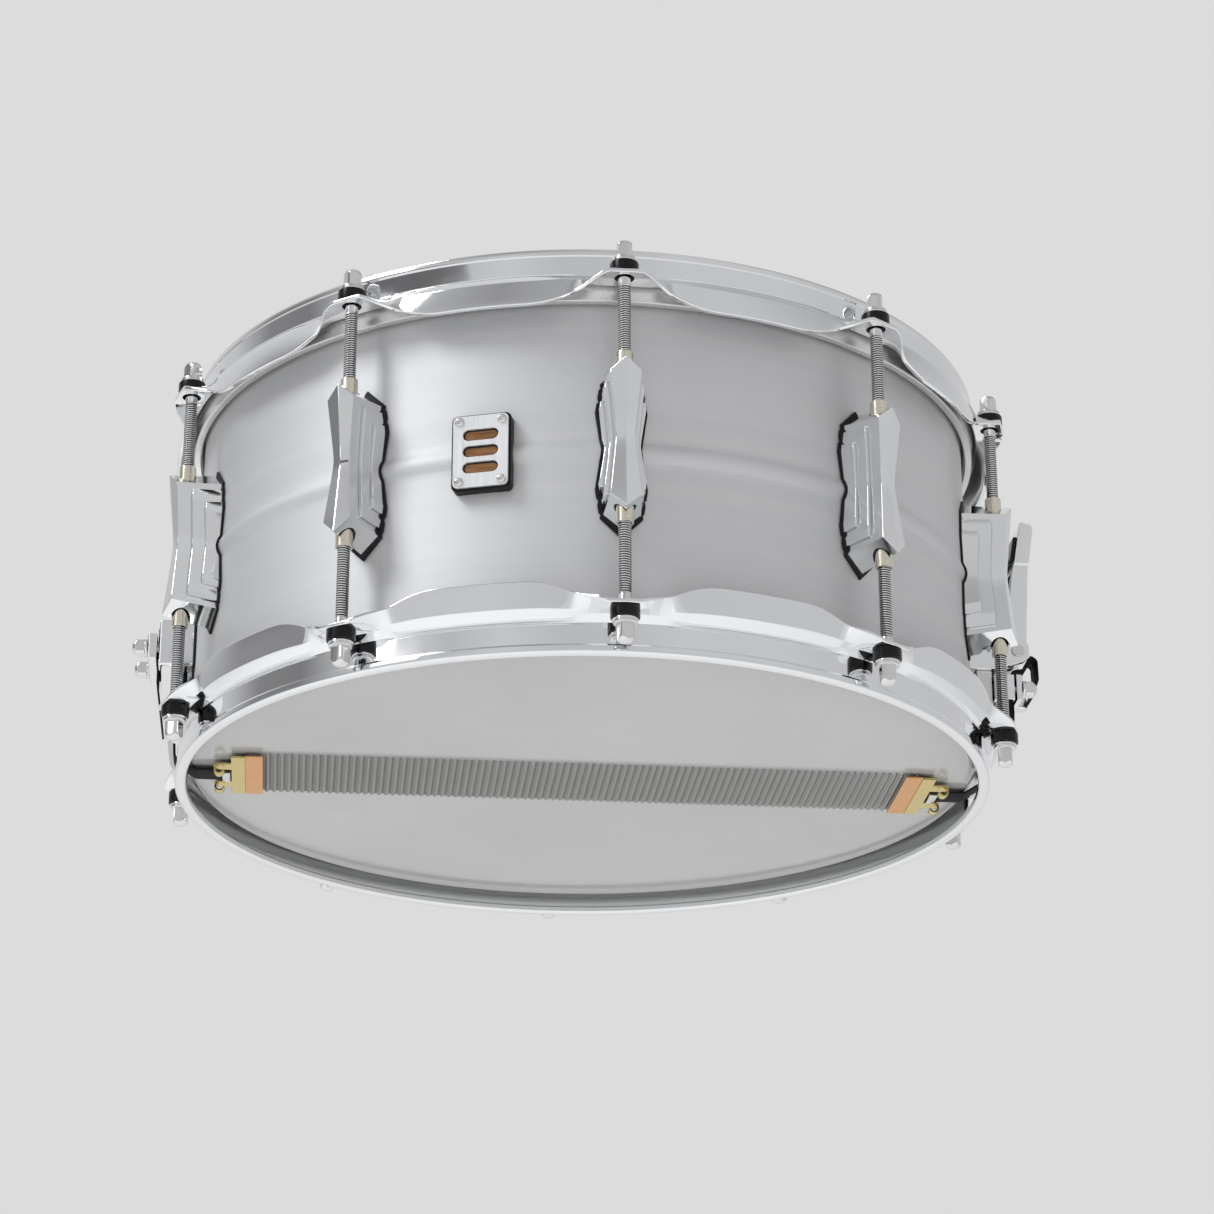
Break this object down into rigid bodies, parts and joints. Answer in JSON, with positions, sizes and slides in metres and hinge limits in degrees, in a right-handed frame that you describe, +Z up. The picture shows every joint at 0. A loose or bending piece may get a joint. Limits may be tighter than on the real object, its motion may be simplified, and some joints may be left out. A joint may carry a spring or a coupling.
{
  "type": "snare drum",
  "caption": "Metal-shell snare drum with rimmed hoops, tension rods in double-ended lugs, coiled snares, throw-off strainer and butt plate.",
  "frame": {"origin": "centre of the snare-side hoop's flat rim, which the drum stands on", "axes": "+Z up through the batter head, +X towards the strainer, -Y towards the lug beside the badge"},
  "size_m": [0.4174, 0.4006, 0.1832],
  "materials": {
    "brushed_shell": "brushed, satin",
    "coated_film": "rough white coating",
    "clear_film": "hazy, glossy",
    "flesh_hoop_alloy": "satin",
    "chrome": "polished",
    "steel_hardware": "polished",
    "nickel": "satin nickel",
    "black_nylon": "satin",
    "black_gasket": "matte",
    "badge_wood": "dark, satin",
    "badge_metal": "polished",
    "snare_steel": "bright",
    "copper": "bright",
    "gold_brass": "bright",
    "black_strap": "woven"
  },
  "bodies": {
    "drum": {"air_vent": "chrome", "badge_base": "badge_wood", "badge_plate": "badge_metal", "badge_screws": "steel_hardware", "batter_flesh_hoop": "flesh_hoop_alloy", "batter_head_film": "coated_film", "batter_hoop": "chrome", "butt_block": "chrome", "butt_clamp_plate": "chrome", "butt_clamp_screws": "steel_hardware", "butt_fixing_screws": "steel_hardware", "butt_gasket": "black_gasket", "butt_strap": "black_strap", "lever_pin": "steel_hardware", "lug_gaskets": "black_gasket", "lug_screws": "steel_hardware", "lugs": "chrome", "rod_washers": "black_nylon", "shell": "brushed_shell", "snare_flesh_hoop": "flesh_hoop_alloy", "snare_head_film": "clear_film", "snare_hoop": "chrome", "strainer_gasket": "black_gasket", "strainer_housing": "chrome", "strainer_screws": "steel_hardware", "swivel_nuts": "nickel"},
    "throw_lever": {"throw_lever": "chrome", "lever_pad": "black_gasket"},
    "strainer_slide": {"slide_block": "chrome"},
    "tension_knob": {"adjuster_screw": "steel_hardware", "adjuster_knob": "black_nylon"},
    "strap_carriage": {"strap_clamp_block": "chrome", "strap_clamp_plate": "chrome", "strap_clamp_screws": "steel_hardware", "strainer_strap": "black_strap"},
    "snares": {"snare_wires": "snare_steel", "strainer_end_plate": "copper", "butt_end_plate": "copper", "strainer_end_clip": "gold_brass", "butt_end_clip": "gold_brass"},
    "batter_tension_rod_01": {"batter_tension_rod_01": "steel_hardware"},
    "batter_tension_rod_02": {"batter_tension_rod_02": "steel_hardware"},
    "batter_tension_rod_03": {"batter_tension_rod_03": "steel_hardware"},
    "batter_tension_rod_04": {"batter_tension_rod_04": "steel_hardware"},
    "batter_tension_rod_05": {"batter_tension_rod_05": "steel_hardware"},
    "batter_tension_rod_06": {"batter_tension_rod_06": "steel_hardware"},
    "batter_tension_rod_07": {"batter_tension_rod_07": "steel_hardware"},
    "batter_tension_rod_08": {"batter_tension_rod_08": "steel_hardware"},
    "batter_tension_rod_09": {"batter_tension_rod_09": "steel_hardware"},
    "batter_tension_rod_10": {"batter_tension_rod_10": "steel_hardware"},
    "snare_tension_rod_01": {"snare_tension_rod_01": "steel_hardware"},
    "snare_tension_rod_02": {"snare_tension_rod_02": "steel_hardware"},
    "snare_tension_rod_03": {"snare_tension_rod_03": "steel_hardware"},
    "snare_tension_rod_04": {"snare_tension_rod_04": "steel_hardware"},
    "snare_tension_rod_05": {"snare_tension_rod_05": "steel_hardware"},
    "snare_tension_rod_06": {"snare_tension_rod_06": "steel_hardware"},
    "snare_tension_rod_07": {"snare_tension_rod_07": "steel_hardware"},
    "snare_tension_rod_08": {"snare_tension_rod_08": "steel_hardware"},
    "snare_tension_rod_09": {"snare_tension_rod_09": "steel_hardware"},
    "snare_tension_rod_10": {"snare_tension_rod_10": "steel_hardware"}
  },
  "joints": [
    {"name": "lever_throw", "type": "hinge", "parent": "drum", "child": "throw_lever", "pos_m": [0.2018, 0, 0.0751], "axis": [0, 1, 0], "range_deg": [0, 80]},
    {"name": "slide_drop", "type": "slide", "parent": "drum", "child": "strainer_slide", "axis": [0, 0, 1], "range_m": [-0.006, 0]},
    {"name": "knob_turn", "type": "hinge", "parent": "strainer_slide", "child": "tension_knob", "pos_m": [0.194, 0, 0.1216], "axis": [0, 0, 1], "range_deg": [-720, 720]},
    {"name": "carriage_adjust", "type": "slide", "parent": "strainer_slide", "child": "strap_carriage", "axis": [0, 0, 1], "range_m": [-0.002, 0.002], "deforming": ["strainer_strap"]},
    {"name": "snares_drop", "type": "slide", "parent": "drum", "child": "snares", "axis": [0, 0, 1], "range_m": [-0.003, 0], "deforming": ["butt_strap"]},
    {"name": "batter_rod_01_turn", "type": "hinge", "parent": "drum", "child": "batter_tension_rod_01", "pos_m": [0, -0.192, 0.1516], "axis": [0, 0, 1], "continuous": true},
    {"name": "batter_rod_02_turn", "type": "hinge", "parent": "drum", "child": "batter_tension_rod_02", "pos_m": [0.11285, -0.15533, 0.1516], "axis": [0, 0, 1], "continuous": true},
    {"name": "batter_rod_03_turn", "type": "hinge", "parent": "drum", "child": "batter_tension_rod_03", "pos_m": [0.1826, -0.05933, 0.1516], "axis": [0, 0, 1], "continuous": true},
    {"name": "batter_rod_04_turn", "type": "hinge", "parent": "drum", "child": "batter_tension_rod_04", "pos_m": [0.1826, 0.05933, 0.1516], "axis": [0, 0, 1], "continuous": true},
    {"name": "batter_rod_05_turn", "type": "hinge", "parent": "drum", "child": "batter_tension_rod_05", "pos_m": [0.11285, 0.15533, 0.1516], "axis": [0, 0, 1], "continuous": true},
    {"name": "batter_rod_06_turn", "type": "hinge", "parent": "drum", "child": "batter_tension_rod_06", "pos_m": [0, 0.192, 0.1516], "axis": [0, 0, 1], "continuous": true},
    {"name": "batter_rod_07_turn", "type": "hinge", "parent": "drum", "child": "batter_tension_rod_07", "pos_m": [-0.11285, 0.15533, 0.1516], "axis": [0, 0, 1], "continuous": true},
    {"name": "batter_rod_08_turn", "type": "hinge", "parent": "drum", "child": "batter_tension_rod_08", "pos_m": [-0.1826, 0.05933, 0.1516], "axis": [0, 0, 1], "continuous": true},
    {"name": "batter_rod_09_turn", "type": "hinge", "parent": "drum", "child": "batter_tension_rod_09", "pos_m": [-0.1826, -0.05933, 0.1516], "axis": [0, 0, 1], "continuous": true},
    {"name": "batter_rod_10_turn", "type": "hinge", "parent": "drum", "child": "batter_tension_rod_10", "pos_m": [-0.11285, -0.15533, 0.1516], "axis": [0, 0, 1], "continuous": true},
    {"name": "snare_rod_01_turn", "type": "hinge", "parent": "drum", "child": "snare_tension_rod_01", "pos_m": [0, -0.192, 0.0316], "axis": [0, 0, 1], "continuous": true},
    {"name": "snare_rod_02_turn", "type": "hinge", "parent": "drum", "child": "snare_tension_rod_02", "pos_m": [0.11285, -0.15533, 0.0316], "axis": [0, 0, 1], "continuous": true},
    {"name": "snare_rod_03_turn", "type": "hinge", "parent": "drum", "child": "snare_tension_rod_03", "pos_m": [0.1826, -0.05933, 0.0316], "axis": [0, 0, 1], "continuous": true},
    {"name": "snare_rod_04_turn", "type": "hinge", "parent": "drum", "child": "snare_tension_rod_04", "pos_m": [0.1826, 0.05933, 0.0316], "axis": [0, 0, 1], "continuous": true},
    {"name": "snare_rod_05_turn", "type": "hinge", "parent": "drum", "child": "snare_tension_rod_05", "pos_m": [0.11285, 0.15533, 0.0316], "axis": [0, 0, 1], "continuous": true},
    {"name": "snare_rod_06_turn", "type": "hinge", "parent": "drum", "child": "snare_tension_rod_06", "pos_m": [0, 0.192, 0.0316], "axis": [0, 0, 1], "continuous": true},
    {"name": "snare_rod_07_turn", "type": "hinge", "parent": "drum", "child": "snare_tension_rod_07", "pos_m": [-0.11285, 0.15533, 0.0316], "axis": [0, 0, 1], "continuous": true},
    {"name": "snare_rod_08_turn", "type": "hinge", "parent": "drum", "child": "snare_tension_rod_08", "pos_m": [-0.1826, 0.05933, 0.0316], "axis": [0, 0, 1], "continuous": true},
    {"name": "snare_rod_09_turn", "type": "hinge", "parent": "drum", "child": "snare_tension_rod_09", "pos_m": [-0.1826, -0.05933, 0.0316], "axis": [0, 0, 1], "continuous": true},
    {"name": "snare_rod_10_turn", "type": "hinge", "parent": "drum", "child": "snare_tension_rod_10", "pos_m": [-0.11285, -0.15533, 0.0316], "axis": [0, 0, 1], "continuous": true}
  ],
  "couplings": [
    {"joint": "slide_drop", "follows": "lever_throw", "m_per_rad": -0.0042972},
    {"joint": "snares_drop", "follows": "lever_throw", "m_per_rad": -0.0021486},
    {"joint": "knob_turn", "follows": "carriage_adjust", "rad_per_m": -6283}
  ]
}
